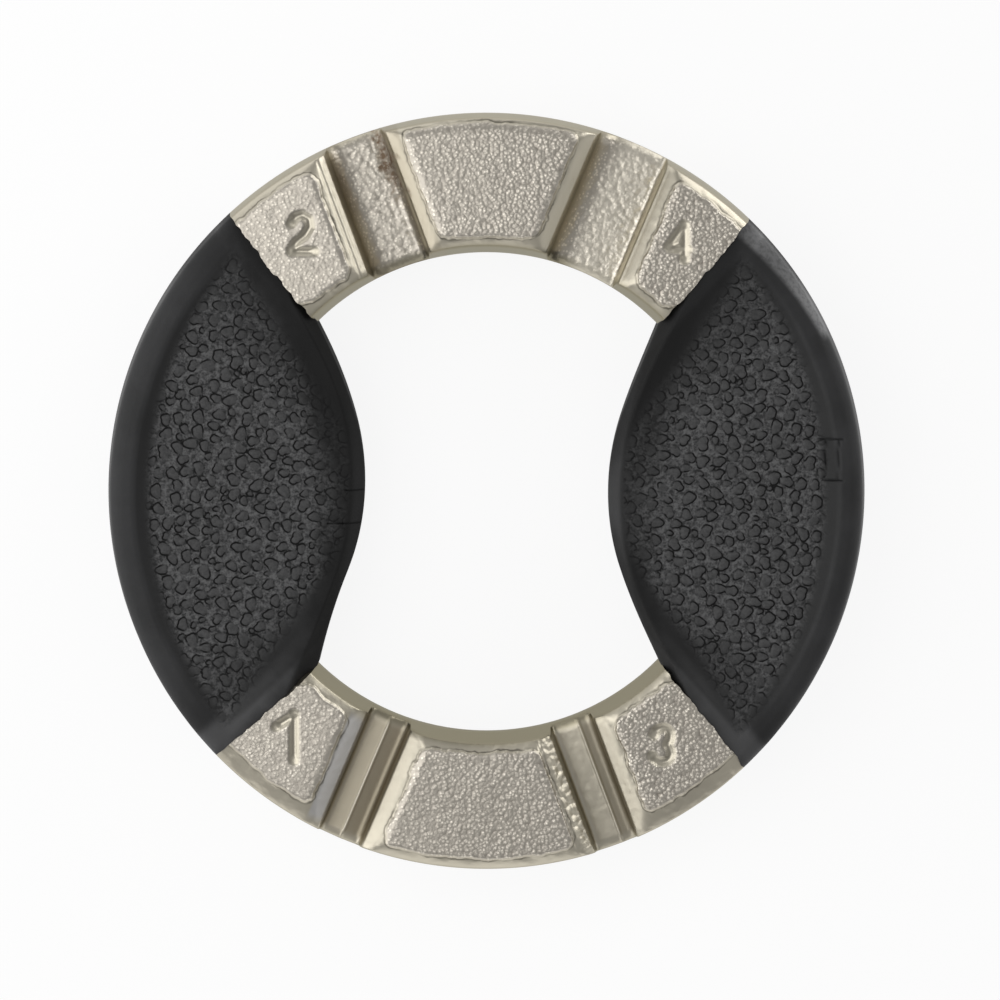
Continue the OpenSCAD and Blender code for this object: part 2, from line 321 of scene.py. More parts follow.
# Digits as drawn lines: by digit, half the width of a stroke, its middle, and its strokes about that middle
digitCuts = dict(
    depth=0.28, edgeFade=(0, 0.35), lowShare=0.35, deepFade=(0, 0.6), endShare=0.5, endFade=(0, 0.40),
    # the last three place the digits' painted shade and set how strong it is
    bottomR=0.08, shadeStepX=0.10, shadeStepY=0.05, shadeFull=0.35,
    halfWidths={2: 0.46, 4: 0.46, 1: 0.46, 3: 0.48},
    places={2: (-13.33, 19.17), 4: (14.24, 18.51), 1: (-14.60, -17.71), 3: (12.96, -18.25)},
    strokes={
        2: [[(-0.80, 0.68), (-0.52, 1.15), (-0.04, 1.31), (0.43, 1.03), (0.54, 0.45), (0.16, -0.18),
             (-0.48, -0.69), (-0.80, -1.18)], [(-0.80, -1.33), (0.84, -1.33)]],
        4: [[(0.13, 1.16), (-0.96, -0.34)], [(-0.90, -0.41), (0.38, -0.50)], [(0.18, 1.27), (0.18, -1.30)]],
        1: [[(-0.77, 0.80), (0.44, 1.57)], [(0.53, 1.75), (0.53, -1.68)]],
        3: [[(-0.68, 0.72), (-0.55, 1.01), (-0.30, 1.19), (0.00, 1.26), (0.29, 1.19), (0.48, 0.97),
             (0.53, 0.68), (0.48, 0.32), (0.32, 0.02), (0.49, -0.27), (0.59, -0.65), (0.51, -0.95),
             (0.29, -1.19), (-0.04, -1.28), (-0.36, -1.22), (-0.63, -1.06), (-0.78, -0.79)]],
    },
)


def digitDepth(x, y, d):  # depth of the grooves, from 0 to 1: a V about each stroke, shallower at its ends
    deepest = np.zeros(x.shape)
    for number, (dx, dy) in d["places"].items():
        u, v = x - dx, y - dy
        for path in d["strokes"][number]:
            fromEnds = np.minimum(*(np.hypot(u - px, v - py) for px, py in (path[0], path[-1])))
            away = np.hypot(strokeDistance(u, v, path), d["bottomR"])
            groove = peak(away, d["halfWidths"][number])
            deepest = np.maximum(deepest, blend(d["endShare"], ramp(*d["endFade"], fromEnds)) * groove)
    return deepest


# Where the casting's finishes, painted shade and painted light begin and where they are full, as pairs for
# ramp over heights and distances
castMarks = dict(
    onFloor=(0.9, 0.2), floorEnd=(0.0, 0.5), litSide=(1.8, 0.0), crestEnd=(0.5, 1.2),
    crestSides=(-0.1, 0.1), machinedSide=(0.15, -0.05), machinedEnd=(0.2, 1.1), bevelTop=(0.1, -0.1),
    shadeBevel=(-1.15, -0.95), shadeSide=(0.5, 2.4), shadeWave=0.5, shadeWaveSize=1.5, shadeGap=-0.9,
    coolBevel=(-1.35, -1.1), coolEnd=(0.7, 1.5), roughBevel=(-1.25, -1.0), roughBevelTop=(0.12, -0.1),
    rustPlace=(-1.70, 25.3), rustSpread=(0.62, 2.9), rustEdge=(1.3, 0.5), rustWaveSize=0.55,
    rippleEdge=(0, 0.3), reliefEdge=(0, 0.25), backBand=(-0.05, 0.2), padEdgeReach=0.6,
    innerWallShade=(0.95, 0.35), outerWallShade=(0.60, 0.35),
)


def slotRelief(r, angle, x, y, edge, slots, c, m):
    # Lowest slot height, distance beside the nearest slot, and masks from 0 to 1 for the slots' finishes
    # and for painted shade and light
    height, beside = np.full(r.shape, 99.0), np.full(r.shape, 9.0)
    labels = ("floor", "machined", "rust", "roughBevel", "coolBevel", "slotShade", "paintedLight")
    masks = {label: np.zeros(r.shape) for label in labels}

    def add(label, values):  # keeps the stronger mark
        masks[label] = np.maximum(masks[label], values)

    for s in slots:
        t = r * np.sin(angle - math.radians(s["angle"]))
        profile = slotProfile(t, s, c)
        height = np.minimum(height, profile)
        gap = np.where(t > 0, t - s["left"][2], -t - s["right"][2])
        beside = np.minimum(beside, gap)
        onFloor = ramp(*m["onFloor"], profile - s["floorZ"])
        onRight = ramp(*m["bevelTop"], gap) * (t < 0)
        shadeFirst, shadeLast = s["slotShade"]
        if s["cast"]:
            wave = m["shadeWave"] * grain(x, y, m["shadeWaveSize"], seed=83)
            add("floor", onFloor)
            # painted light on the right side of a cast floor, away from its shaded wall
            add("paintedLight", s["paintedLight"] * onFloor * ramp(*m["litSide"], t))
            # painted shade on the left side of a cast floor, beside its wall, and on its right bevel
            add("slotShade", shadeLast * ramp(*m["shadeSide"], t + wave) * (gap < m["shadeGap"]))
            add("slotShade", shadeFirst * ramp(*m["shadeBevel"], gap) * onRight)
        else:
            fromCrest = t - s["crest"][0]
            # painted shade: one half of a machined floor gets more of the darker machined tone than the
            # other
            tone = shadeFirst + (shadeLast - shadeFirst) * ramp(*m["crestSides"], fromCrest)
            # painted highlight along the crest of a machined floor
            add("paintedLight", peak(fromCrest, c["crestHalf"]) * ramp(*m["crestEnd"], edge))
            add("machined", tone * ramp(*m["machinedSide"], gap + (s["left"][2] - s["left"][1])))
        if s["special"] == "coolBevel":
            # painted cool reflection on this bevel
            add("coolBevel", ramp(*m["coolBevel"], gap) * onRight * ramp(*m["coolEnd"], edge))
        if s["special"] == "rust":
            (atT, atR), (spreadT, spreadR) = m["rustPlace"], m["rustSpread"]
            patch = np.hypot((t - atT) / spreadT, (r - atR) / spreadR)
            add("rust", ramp(*m["rustEdge"], patch + grain(x, y, m["rustWaveSize"], seed=71)))
        if s["special"] == "roughBevel":
            add("roughBevel", ramp(*m["roughBevel"], gap) * ramp(*m["roughBevelTop"], gap) * (t < 0))
    masks["floor"] = masks["floor"] * ramp(*m["floorEnd"], edge)
    short = np.clip(c["slotEndReach"] - edge, 0, None) / c["slotEndReach"]
    return height - c["slotEndFall"] * short ** 2, beside, masks


def padInside(r, x, y, reach, beside, fromEnds, c):
    # Distance inside a pad's outline, with round corners and an uneven cast edge
    corner, endCorner = c["padCorner"], c["padEndCorner"]
    atSlot = corner - np.hypot(np.clip(corner - reach, 0, None), np.clip(corner - beside, 0, None))
    nearHole = np.clip(endCorner - (r - c["padInnerR"]), 0, None)
    nearEnd = np.clip(endCorner - fromEnds - c["padEndGap"], 0, None)
    atEnd = endCorner - np.hypot(nearHole, nearEnd)
    plain = np.minimum(np.minimum(np.minimum(reach, beside), atSlot), atEnd)
    wobble = c["padWobble"] * grain(x, y, c["padWobbleSize"], seed=5)
    return plain + wobble + c["fineWobble"] * grain(x, y, c["fineWobbleSize"], seed=8)


def castHeights(r, angle, x, y, slots, fromEnds, padOuterR, isFront, c):
    # Height over each place, as castRing says, with cast skin, digits and the back's grains; and its
    # finish, with painted shade and painted light
    m, d = castMarks, digitCuts
    outside, inside = c["outerR"] - r, r - c["holeR"]
    edge = np.minimum(outside, inside)
    bevelZ = c["landZ"] - c["bevelW"] + (edge - c["bevelR"])
    walls = softMin(edge / slopeOf(c["draft"]), bevelZ, c["edgeSoft"])
    reach = np.minimum(r - c["padInnerR"], padOuterR - r)
    slotZ, beside, masks = slotRelief(r, angle, x, y, edge, slots, c, m)
    castFloor, machined, rust = masks["floor"], masks["machined"], masks["rust"]
    padIn = padInside(r, x, y, reach, beside, fromEnds, c)
    rough = ramp(0.0, c["roughSide"], padIn)
    land = c["landZ"] + c["padRise"] * ramp(0.0, c["padSide"], padIn)
    land = land - c["bandFall"] * np.clip(-padIn, 0, c["bandReach"])
    z = softMin(softMin(walls, land, c["edgeSoft"]), slotZ, c["slotSoft"])
    # Cast skin: sand grains and low lumps on the pads and cast floors, and a faint ripple elsewhere
    padGrains = granules(x, y, c["padGrain"], seed=11)
    floorGrains = granules(x, y, c["floorGrain"], seed=23)
    coarse = c["coarseLow"] + c["coarseGain"] * ramp(*c["coarseX"], x)
    relief = rough * coarse * c["padGrainDepth"] * padGrains
    relief = relief + castFloor * c["floorGrainDepth"] * floorGrains
    relief = relief + np.maximum(rough, castFloor) * c["lumpDepth"] * grain(x, y, c["lumpSize"], seed=27)
    relief = relief + masks["roughBevel"] * c["bevelGrainDepth"] * granules(x, y, c["bevelGrain"], seed=41)
    ripple = c["skinGrainDepth"] * grain(x, y, c["skinGrain"], seed=31, octaves=2)
    relief = relief + ripple * (1 - machined) * ramp(*m["rippleEdge"], edge)
    relief = relief - c["rustDepth"] * rust * (c["rustSink"] + grain(x, y, c["rustGrain"], seed=73))
    # Digits, and painted shade on the side of their grooves that faces away from the light
    cut = digitDepth(x, y, d)
    digitShade = digitDepth(x + d["shadeStepX"], y - d["shadeStepY"], d) - digitDepth(x - d["shadeStepX"], y + d["shadeStepY"], d)
    uncut = 1 - ramp(*d["edgeFade"], cut)
    relief = relief * uncut - d["depth"] * cut * blend(d["lowShare"], ramp(*d["deepFade"], cut))
    frontZ = z + relief * ramp(*m["reliefEdge"], edge)
    topZ = c["landZ"] + c["padRise"]
    onBack = ramp(*m["backBand"], reach + c["backWobble"] * grain(x, y, c["backWobbleSize"], seed=51))
    backZ = softMin(walls, c["landZ"] + c["padRise"] * onBack, c["edgeSoft"])
    backGrains = grain(x, y, c["backGrain"], seed=61) - c["backSink"]
    backZ = np.minimum(backZ + onBack * c["backGrainDepth"] * backGrains, topZ)

    def front(values, behind=0):  # values for the front, and others for the back
        return np.where(isFront, values, behind)

    marks = dict(
        rough=front(np.maximum(rough, castFloor) * uncut, onBack),
        machined=front(machined * ramp(*m["machinedEnd"], edge)),
        pitShade=front(rough * padGrains + castFloor * floorGrains),
        rust=front(rust),
        coolReflection=front(masks["coolBevel"]),
        slotShade=front(masks["slotShade"]),
        innerWallShade=ramp(*m["innerWallShade"], inside),
        outerWallShade=ramp(*m["outerWallShade"], outside),
        padEdge=front(np.clip(padIn, -m["padEdgeReach"], m["padEdgeReach"]), -m["padEdgeReach"]),
        paintedLight=front(masks["paintedLight"]),
        digitShade=front(np.clip(digitShade / d["shadeFull"], 0, 1)),
        coarse=front(np.maximum(rough * coarse * uncut, c["floorCoarse"] * castFloor), onBack),
    )
    return front(frontZ, -backZ), marks


def castRing(c):
    # Section rows run from the outer parting line over the front to the hole and back under the ring.
    # Height over a place is the lowest of drafted walls, bevels, land with its pads, and the slots.
    o, h = c["outerR"], c["holeR"]
    edgeRows = np.concatenate([np.linspace(*rows) for rows in c["edgeRows"]])
    faceRows = np.linspace(c["faceInset"], o - h - c["faceInset"], c["faceRows"])
    front = o - np.concatenate([edgeRows, faceRows, o - h - edgeRows[::-1]])
    backEdge = np.array(c["backEdge"])
    backRows = np.linspace(c["backInset"], o - h - c["backInset"], c["backRows"])
    back = h + np.concatenate([backEdge, backRows, o - h - backEdge[::-1]])
    r = np.concatenate([front, back])[:, None]
    isFront = (np.arange(len(r)) < len(front))[:, None]
    arcs, reliefs = [], []
    for i, (first, last) in enumerate(c["bareArcs"]):
        start, end = endAngle(first), endAngle(last)
        slots = [s for s in nippleSlots.values() if start < s["angle"] < end]
        a0, t0, a1, t1, w, atStart, atEnd = arcColumns(start, end, slots, c)[:, None, :]
        angle = (1 - w) * (np.radians(a0) + np.arcsin(t0 / r)) + w * (np.radians(a1) + np.arcsin(t1 / r))
        angle = angle + endTurn(r, first, c, atStart) + endTurn(r, last, c, atEnd)
        startLine = math.radians(start) + endTurn(r, first, c, 1)
        endLine = math.radians(end) + endTurn(r, last, c, 1)
        fromEnds = np.minimum(angle - startLine, endLine - angle) * r
        x, y = r * np.cos(angle), r * np.sin(angle)
        between = (angle > math.radians(slots[0]["angle"])) & (angle < math.radians(slots[-1]["angle"]))
        padOuterR = np.where(between, c["middlePadR"][i], c["endPadR"][i])
        z, relief = castHeights(r + 0 * angle, angle, x, y, slots, fromEnds, padOuterR, isFront, c)
        arcs.append(np.stack([x, y, z], -1))
        reliefs.append(relief)
        # The waist inside the next grip, a flatter and narrower copy of the plain section
        nextStart = endAngle(c["bareArcs"][(i + 1) % 2][0]) + 360 * (i == 1)
        turn = np.radians(np.linspace(end, nextStart, c["waistColumns"]))[None, :]
        plain = np.minimum(np.minimum(o - r, r - h) / slopeOf(c["draft"]), c["landZ"])
        share = (c["waistOuterR"] - c["waistInnerR"]) / (o - h)
        waistR = (o + h) / 2 + (r - (o + h) / 2) * share
        waistZ = plain * np.where(isFront, 1, -1) * c["waistZ"] / c["landZ"] + 0 * turn
        arcs.append(np.stack([waistR * np.cos(turn), waistR * np.sin(turn), waistZ], -1))
        reliefs.append({k: np.zeros(waistZ.shape) for k in relief})
    marks = {k: np.concatenate([relief[k] for relief in reliefs], 1) for k in reliefs[0]}
    return np.concatenate(arcs, 1), marks


ringPoints, ringMarks = castRing(ringCast)
ring = ringMesh("ring_casting", ringPoints, ringMarks, ringCast["sharpAngle"])
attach(ring, "root")
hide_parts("ring")
print("ring built")


# Moulded grips

gripMould = dict(
    outerR=ringCast["outerR"], holeR=ringCast["holeR"], draft=ringCast["draft"],
    span=91.0, topZ=4.4, roundR=1.2, sharpAngle=60,
    noseTip=9.0, noseR=18.0, flankX=10.07, flankY=6.13, sweepX=43.0, sweepR=34.15, sweepDraft=26.0,
    dishZ=2.5, dishTilt=4.0, dishR=150.0, lipFall=0.5, lipW=3.0,
    rimInR=25.8, rimSlope=42.0, endRim=0.8, endSlope=30.0,
    lipSoft=0.3, sideSoft=0.5, dishSoft=0.45, topSoft=0.30, noseSoft=0.28, outerSoft=0.05,
    tunnelInnerR=19.55, tunnelOuterR=26.2, tunnelZ=2.28, tunnelColumns=14,
    islandSizes=((0.32, 0.44), (0.25, 0.35), (0.16, 0.25)), islandGap=0.14, islandTries=3000, islandSeed=12,
    islandY=20, islandTurn=6.28, islandSide=0.55, islandNear=1, islandFar=-0.4,
    lobeShares=(0.17, 0.10, 0.06), islandRise=0.06, islandEdge=(-0.05, 0.14), islandSeam=0.03,
    seamAt=-0.03, seamW=0.07, seamLow=0.4, seamSide=(0.05, 0.55), skinGrain=0.5, skinGrainDepth=0.012,
    skinEdge=(0, 0.5), skinNose=(0, 0.6), lineFade=(0.10, 0.03), lineDepth=0.10,
    columns=460, frontRows=150, backRows=54, innerShare=0.10, outerShare=0.3,
    wallPart=6,  # one row in so many is on each wall
    faceShares=(0.12, 0.5),  # mesh lines on the faces where a grip ends
)

# Each grip: its node, side, turn in degrees, the lines where it ends, its painted shade and highlight, and
# its moulding lines
gripSides = {
    "right_grip_rubber": dict(
        node="right_grip", side=1, turned=0.0, ends=("upperRight", "lowerRight"),
        noseShade=0.7, noseEdge=(0.7, 1.4), highlightShare=1,
        lines=[[(24.25, 4.17), (26.05, 4.17)], [(24.80, 4.17), (24.80, 1.15)],
               [(25.70, 4.17), (25.70, 1.15)], [(24.60, 1.15), (25.95, 1.15)]],
    ),
    "left_grip_rubber": dict(
        node="left_grip", side=-1, turned=-2.0, ends=("upperLeft", "lowerLeft"),
        noseShade=0.90, noseEdge=None, highlightShare=0,
        lines=[[(8.6, -0.07), (10.4, -0.07)], [(8.6, -2.48), (11.6, -2.53)]],
    ),
}


def packIslands(g):  # places and radii of islands thrown at random, large ones first, none touching
    chance = np.random.default_rng(g["islandSeed"])
    islands = np.zeros((0, 6))
    for low, high in g["islandSizes"]:
        for _ in range(g["islandTries"]):
            x, y = chance.uniform(g["noseTip"], g["outerR"]), chance.uniform(-g["islandY"], g["islandY"])
            radius = chance.uniform(low, high)
            room = islands[:, 2] + radius + g["islandGap"]
            if np.all(np.hypot(islands[:, 0] - x, islands[:, 1] - y) > room):
                lobeTurns = chance.uniform(0, g["islandTurn"], 2)
                side = chance.normal(0, g["islandSide"])
                islands = np.vstack([islands, [x, y, radius, *lobeTurns, side]])
    return islands


def islandDepth(x, y, islands, g):
    # Distance inside the nearest island's edge, which has two, three and five lobes, and how near a place
    # is to the island's sharper side, from 0 to 1
    depth, sharper = np.full(x.shape, g["islandFar"]), np.zeros(x.shape)
    twoLobes, threeLobes, fiveLobes = g["lobeShares"]
    for cx, cy, radius, two, three, side in islands:
        near = (np.abs(x - cx) < g["islandNear"]) & (np.abs(y - cy) < g["islandNear"])
        dx, dy = x[near] - cx, y[near] - cy
        turn = np.arctan2(dy, dx)
        lobes = twoLobes * np.cos(2 * turn + two) + threeLobes * np.cos(3 * turn + three)
        lobes = lobes + fiveLobes * np.cos(5 * turn + two)
        inside = radius * (1 + lobes) - np.hypot(dx, dy)
        nearer = inside > depth[near]
        depth[near] = np.where(nearer, inside, depth[near])
        sharper[near] = np.where(nearer, 0.5 + 0.5 * np.cos(turn - side), sharper[near])
    return depth, sharper


islands = packIslands(gripMould)
print("islands packed:", len(islands))

# Where painted shade and painted light lie on the rubber, as pairs for ramp over distances and directions
rubberMarks = dict(
    dishSide=(-0.30, 0.45), dishNose=(0.0, 0.6), slopeSide=(-0.60, 0.15), slopeTop=(0.0, 0.25),
    noseReach=(4.2, 1.4), noseLift=1.6, noseLiftY=(0.0, 5.5), noseWave=0.9, noseWaveSize=1.3,
    noseWallShare=0.75, noseWall=(0.6, 1.3), endWave=1.4, endWaveSize=2.0,
    shadedEnds=(  # above and below
        dict(rubberShade=0.40, reach=(7.8, 3.0), edge=(1.0, 1.9), half=(0, 3)),
        dict(rubberShade=0.42, reach=(6.0, 3.0), edge=(1.7, 2.4), half=(0, -3)),
    ),
    lightReach=(2.3, 1.5), lightY=(0, -2), lightNose=(0.3, 0.9),
    highlightR=26.1, highlightLean=2.2, highlightTurn=0.80, highlightFade=(0, 0.5),
    highlightStart=(0.425, 0.460), highlightOuter=(27.95, 27.60),
)


def shadePatches(x, y, inNose, inEnd, s, m):  # painted shade about the nose and towards both ends
    wave = m["noseWave"] * grain(x, y, m["noseWaveSize"], seed=131)
    noseReach = inNose - m["noseLift"] * ramp(*m["noseLiftY"], y) + wave
    rubberShade = ramp(*m["noseReach"], noseReach) * s["noseShade"]
    rubberShade = rubberShade * blend(m["noseWallShare"], ramp(*m["noseWall"], inNose))
    if s["noseEdge"]:
        rubberShade = rubberShade * ramp(*s["noseEdge"], inNose)
    cloudy = inEnd + m["endWave"] * grain(x, y, m["endWaveSize"], seed=121)
    for e in m["shadedEnds"]:
        patch = e["rubberShade"] * ramp(*e["reach"], cloudy) * ramp(*e["edge"], inEnd) * ramp(*e["half"], y)
        rubberShade = np.maximum(rubberShade, patch)
    return rubberShade


def rimHighlightPatch(x, y, r, s, m):  # painted highlight on the upper end of a rim
    turn = np.arctan2(y, x)
    outwards = r - m["highlightR"] - m["highlightLean"] * np.clip(m["highlightTurn"] - turn, 0, 1)
    patch = ramp(*m["highlightFade"], outwards) * ramp(*m["highlightStart"], turn) * s["highlightShare"]
    return patch * ramp(*m["highlightOuter"], r)


def gripHeights(x, y, g, s):
    # Height is the lowest of the rounded outer edge, the nose's swept wall and the dish, where the dish
    # is the highest of a tilted trough with a falling lip, the rim's slope and the two end slopes.
    m, r = rubberMarks, np.hypot(x, y)
    tanDraft, cosDraft = slopeOf(g["draft"]), math.cos(math.radians(g["draft"]))
    roundZ = g["topZ"] - g["roundR"]
    roundR = g["outerR"] - roundZ * tanDraft - g["roundR"] / cosDraft
    out = np.clip(r - roundR, 0, g["roundR"])
    isRound = r < roundR + g["roundR"] * cosDraft
    outer = np.where(isRound, roundZ + np.sqrt(g["roundR"] ** 2 - out ** 2), (g["outerR"] - r) / tanDraft)
    inNose = g["sweepR"] - np.hypot(x - g["sweepX"], y)
    nose = inNose / slopeOf(g["sweepDraft"])
    inX, hollow, tilt = x - g["noseTip"], y * y / (2 * g["dishR"]), slopeOf(g["dishTilt"])
    floor = g["dishZ"] + tilt * inX + hollow
    lip = g["dishZ"] - g["lipFall"] + (tilt + g["lipFall"] / g["lipW"]) * inX + hollow
    trough = softMin(floor, lip, g["lipSoft"])
    rim = g["topZ"] - (g["rimInR"] - r) * slopeOf(g["rimSlope"])
    half = math.radians(g["span"] / 2)
    inEnd = x * math.sin(half) - np.abs(y) * math.cos(half)
    end = g["topZ"] - (inEnd - g["endRim"]) * slopeOf(g["endSlope"])
    sides = softMax(rim, end, g["sideSoft"])
    dish = softMax(trough, sides, g["dishSoft"])
    top = softMin(np.full(x.shape, g["topZ"]), dish, g["topSoft"])
    # Pebbles: flat islands with a sunk seam about each, deepest at its sharper side
    inDish = ramp(*m["dishSide"], trough - sides) * ramp(*m["dishNose"], nose - trough)
    depth, sharper = islandDepth(x, y, islands, g)
    seam = np.exp(-((depth - g["seamAt"]) / g["seamW"]) ** 2)
    seam = seam * blend(g["seamLow"], ramp(*g["seamSide"], sharper))
    pebbles = inDish * (g["islandRise"] * ramp(*g["islandEdge"], depth) - g["islandSeam"] * seam)
    skin = g["skinGrainDepth"] * grain(x, y, g["skinGrain"], seed=111, octaves=2)
    skin = skin * ramp(*g["skinEdge"], g["outerR"] - r) * ramp(*g["skinNose"], nose)
    cuts = np.zeros(x.shape)
    for path in s["lines"]:
        cuts = np.maximum(cuts, ramp(*g["lineFade"], strokeDistance(x, y, path)))
    z = softMin(softMin(top + pebbles, nose, g["noseSoft"]), outer, g["outerSoft"])
    return z + skin - g["lineDepth"] * cuts, dict(
        island=depth,
        sharper=sharper,
        dish=inDish,
        # painted shade on the steep slopes down into the dish
        slopeShade=ramp(*m["slopeSide"], sides - trough) * ramp(*m["slopeTop"], g["topZ"] - dish),
        rubberShade=shadePatches(x, y, inNose, inEnd, s, m),
        rimHighlight=rimHighlightPatch(x, y, r, s, m),
        cuts=cuts,
        # painted light on the lower end slope, which faces the light
        lowerEndLight=ramp(*m["lightReach"], inEnd) * ramp(*m["lightY"], y) * ramp(*m["lightNose"], inNose),
    )


def rowShares(count, g):  # shares of the way from inner to outer outline, closer together at both walls
    few = count // g["wallPart"]
    inner = np.linspace(0, g["innerShare"], few)
    middle = np.linspace(g["innerShare"], 1 - g["outerShare"] ** 2, count - 2 * few + 2)[1:-1]
    return np.concatenate([inner, middle, 1 - np.linspace(g["outerShare"], 0, few) ** 2])


def mouldedGrip(g, s):
    # Columns fan from the inner outline to the outer arc, and each goes up the inner wall, over the dish,
    # down the outer wall and back under. They return through the tunnel that holds the ring's waist.
    half = math.radians(g["span"] / 2)
    endX, endY = g["holeR"] * math.cos(half), g["holeR"] * math.sin(half)
    u = np.linspace(-1, 1, g["columns"])
    innerY = endY * u
    nearNose = np.clip(innerY, -g["flankY"], g["flankY"])
    onNose = g["noseTip"] + g["noseR"] - np.sqrt(g["noseR"] ** 2 - nearNose ** 2)
    onFlank = g["flankX"] + (np.abs(innerY) - g["flankY"]) * (endX - g["flankX"]) / (endY - g["flankY"])
    innerX = np.where(np.abs(innerY) < g["flankY"], onNose, onFlank)
    outerX, outerY = g["outerR"] * np.cos(half * u), g["outerR"] * np.sin(half * u)
    frontShare, backShare = rowShares(g["frontRows"], g), rowShares(g["backRows"], g)[-2::-1]
    share = np.concatenate([[0, 0], frontShare, backShare, [0]])[:, None]
    lift = np.concatenate([[0, 0.5], np.ones(len(frontShare)), np.ones(len(backShare)), [0.5]])[:, None]
    isFront = (np.arange(len(share)) < 2 + len(frontShare))[:, None]
    facing = np.where(isFront, 1, -1)
    x, y = innerX + (outerX - innerX) * share, innerY + (outerY - innerY) * share
    z, marks = gripHeights(x, y, g, s)
    z = np.clip(z, 0, None) * lift * facing
    marks["rimHighlight"] = marks["rimHighlight"] * isFront
    # Each end turns with the ragged line where it meets the metal
    r, upper, lower = np.hypot(x, y), np.clip(2 * u - 1, 0, 1), np.clip(-2 * u - 1, 0, 1)
    upperEnd, lowerEnd = s["ends"]
    shift = s["side"] * (endTurn(r, upperEnd, ringCast, upper) + endTurn(r, lowerEnd, ringCast, lower))
    x, y = x * np.cos(shift) - y * np.sin(shift), x * np.sin(shift) + y * np.cos(shift)
    outerSkin = np.stack([x, y, z], -1)
    # Tunnel section, a plain rectangle with its rows in step with the outer skin's
    tunnelR = g["tunnelInnerR"] + (g["tunnelOuterR"] - g["tunnelInnerR"]) * share
    tunnelZ = g["tunnelZ"] * lift * facing
    turn = np.linspace(half, -half, g["tunnelColumns"])[None, :]
    tunnel = np.stack([tunnelR * np.cos(turn), tunnelR * np.sin(turn), tunnelZ + 0 * turn], -1)
    steps = np.array(g["faceShares"])[None, :, None]
    lastFace = outerSkin[:, -1:] * (1 - steps) + tunnel[:, :1] * steps
    firstFace = tunnel[:, -1:] * (1 - steps[:, ::-1]) + outerSkin[:, :1] * steps[:, ::-1]
    points = np.concatenate([outerSkin, lastFace, tunnel, firstFace], 1) * np.array([s["side"], 1, 1])
    extra = points.shape[1] - outerSkin.shape[1]
    marks = {k: np.pad(v, ((0, 0), (0, extra))) for k, v in marks.items()}
    cosine, sine = math.cos(math.radians(s["turned"])), math.sin(math.radians(s["turned"]))
    return points @ np.array([[cosine, sine, 0], [-sine, cosine, 0], [0, 0, 1]]), marks


grips = []
for gripName, gripSide in gripSides.items():
    gripPoints, gripMarks = mouldedGrip(gripMould, gripSide)
    grip = ringMesh(gripName, gripPoints, gripMarks, gripMould["sharpAngle"])
    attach(grip, "root")
    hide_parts(gripSide["node"])
    grips.append(grip)
print("grips built")


# Materials, written as sums of shader sockets

class Wire:  # one socket of a node tree, used like a number
    def __init__(self, tree, socket):
        self.tree, self.socket = tree, socket

    def node(self, kind, settings, inputs, output=0):  # settings, then values or wires for the sockets
        made = self.tree.nodes.new(kind)
        for key, value in settings.items():
            setattr(made, key, value)
        for key, value in inputs.items():
            if isinstance(value, Wire):
                self.tree.links.new(value.socket, made.inputs[key])
            else:
                made.inputs[key].default_value = value
        return Wire(self.tree, made.outputs[output])

    def sum(self, operation, a, b):
        return self.node("ShaderNodeMath", {"operation": operation}, {0: a, 1: b})

    def __add__(self, other):
        return self.sum("ADD", self, other)

    def __sub__(self, other):
        return self.sum("SUBTRACT", self, other)

    def __rsub__(self, other):
        return self.sum("SUBTRACT", other, self)

    def __mul__(self, other):
        return self.sum("MULTIPLY", self, other)

    __radd__, __rmul__ = __add__, __mul__

    def clipped(self, low, high):  # 0 at low, 1 at high
        settings = {"interpolation_type": "SMOOTHSTEP"}
        return self.node("ShaderNodeMapRange", settings, {0: self, 1: low, 2: high})

    def mix(self, a, b):  # colour a where this is 0, colour b where it is 1
        return self.node("ShaderNodeMix", {"data_type": "RGBA"}, {0: self, 6: a, 7: b}, 2)


def newFinish(name):  # a material, its node tree and shader, and a wire to make nodes with
    finish = bpy.data.materials.new(name)
    finish.use_nodes = True
    tree = finish.node_tree
    return finish, tree, tree.nodes["Principled BSDF"], Wire(tree, None)


def objectPlace(start):  # object coordinates
    return start.node("ShaderNodeTexCoord", {}, {}, 3)


def attributes(start, *names):  # wires with the mesh's own values
    return [start.node("ShaderNodeAttribute", {"attribute_name": name}, {}, 2) for name in names]


def noise(start, place, size, detail, stretch=(1, 1, 1), roughness=0.55):  # of this size in mm, 0 to 1
    moved = start.node("ShaderNodeMapping", {}, {0: place, 3: stretch})
    values = {"Vector": moved, "Scale": 1 / (size * mm), "Detail": detail, "Roughness": roughness}
    return start.node("ShaderNodeTexNoise", {}, values)


def domes(start, place, size):  # round grains of about this size in mm, high in their middles
    values = {"Vector": place, "Scale": 1 / (size * mm)}
    return 1 - start.node("ShaderNodeTexVoronoi", {"feature": "F1"}, values)


def feedShader(tree, shader, start, colour, gloss, height, n):  # colour, roughness and bump into the shader
    values = {"Strength": n["bump"], "Distance": n["bumpDepth"] * mm, "Height": height}
    bump = start.node("ShaderNodeBump", {}, values)
    for wire, socket in ((colour, "Base Color"), (gloss, "Roughness"), (bump, "Normal")):
        tree.links.new(wire.socket, shader.inputs[socket])


